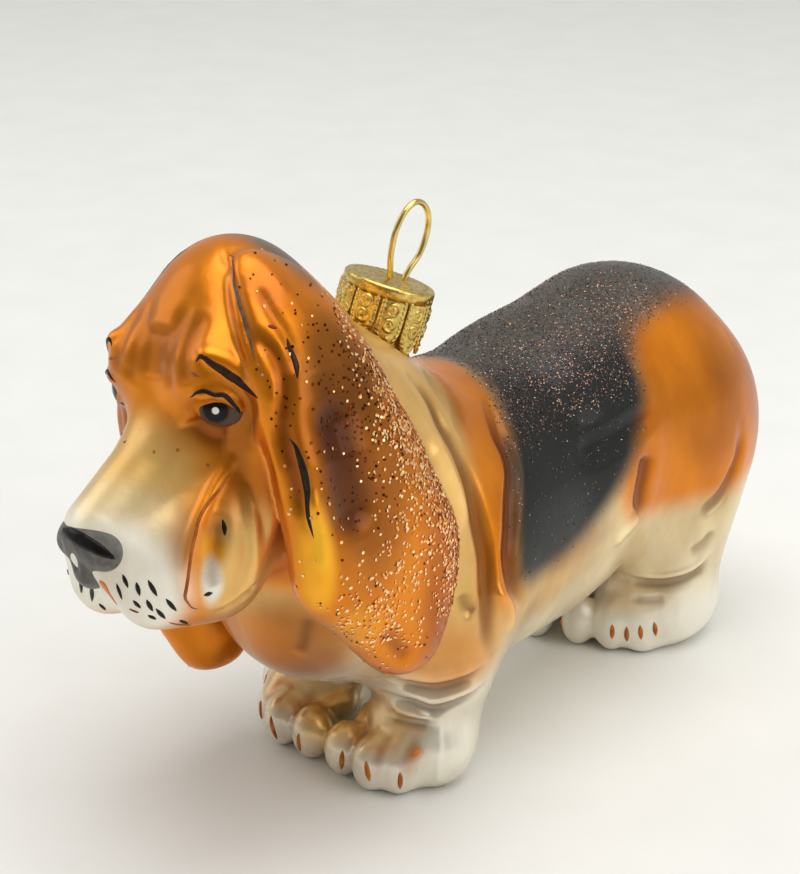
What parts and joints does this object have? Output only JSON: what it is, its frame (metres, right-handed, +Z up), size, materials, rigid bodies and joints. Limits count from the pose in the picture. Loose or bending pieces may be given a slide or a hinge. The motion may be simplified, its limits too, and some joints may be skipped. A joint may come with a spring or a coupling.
{
  "type": "basset hound glass ornament",
  "caption": "Mould-blown glass tree ornament of a standing basset hound, silvered and lacquered, with a stamped metal cap and a wire hanging loop at the nape.",
  "frame": {"origin": "on the floor under the middle of the overall box, the soles of the paws at z = 0", "axes": "+Z up, -Y towards the dog's nose, +X to the dog's left side"},
  "size_m": [0.0446, 0.1246, 0.0775],
  "materials": {
    "orange_lacquered_glass": "silvered inside, satin orange and amber lacquer outside",
    "black_lacquered_glass": "silvered inside, satin black lacquer outside",
    "silver_white_glass": "silvered inside, thin pearl white lacquer outside, glossy",
    "black_enamel": "brushed-on gloss enamel",
    "gold_metal": "bright stamped sheet and wire",
    "copper_glitter": "metallised glitter flakes"
  },
  "bodies": {
    "root": {"head": "orange_lacquered_glass", "nose": "black_enamel", "eye_left": "black_enamel", "eye_right": "black_enamel", "ear_left": "orange_lacquered_glass", "ear_right": "orange_lacquered_glass", "neck": "orange_lacquered_glass", "torso": "black_lacquered_glass", "tail": "black_lacquered_glass", "leg_front_left": "silver_white_glass", "leg_front_right": "silver_white_glass", "leg_hind_left": "silver_white_glass", "leg_hind_right": "silver_white_glass", "cap": "gold_metal", "hanger_loop": "gold_metal"}
  },
  "joints": []
}
